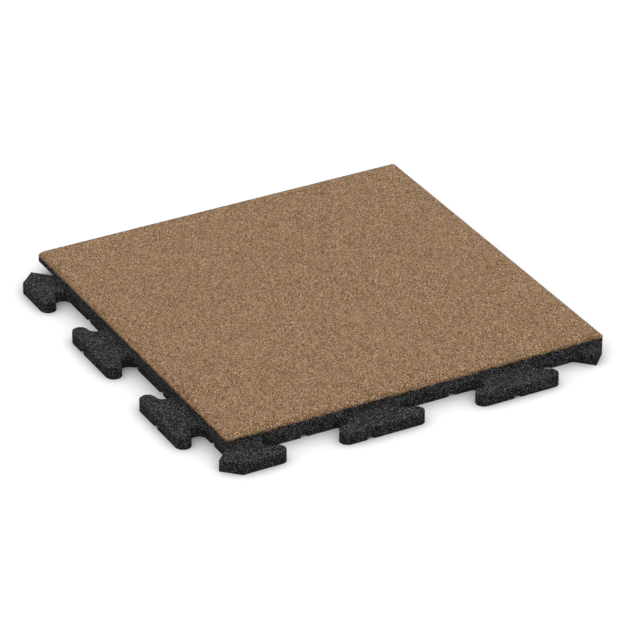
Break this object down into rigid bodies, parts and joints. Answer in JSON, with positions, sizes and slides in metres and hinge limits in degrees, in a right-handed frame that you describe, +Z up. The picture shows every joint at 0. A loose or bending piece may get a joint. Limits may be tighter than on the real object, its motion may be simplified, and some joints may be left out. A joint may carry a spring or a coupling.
{
  "type": "patio tile",
  "caption": "Square rubber granulate patio tile: a tan wear layer on a black base with jigsaw tabs and sockets that lock it to its neighbours and drainage channels beneath.",
  "frame": {"origin": "on the floor under the middle of the tile's whole outline, tabs included", "axes": "+Z up from the underside to the walking face; tabs stand out on the -X and -Y sides, sockets lie under the +X and +Y sides"},
  "size_m": [0.54, 0.54, 0.03],
  "materials": {
    "tan_granulate": "matt pressed granulate, tan with darker and paler grains",
    "black_granulate": "matt pressed granulate, black with a grey bloom"
  },
  "bodies": {
    "root": {"wear_layer": "tan_granulate", "base_layer": "black_granulate"}
  },
  "joints": []
}
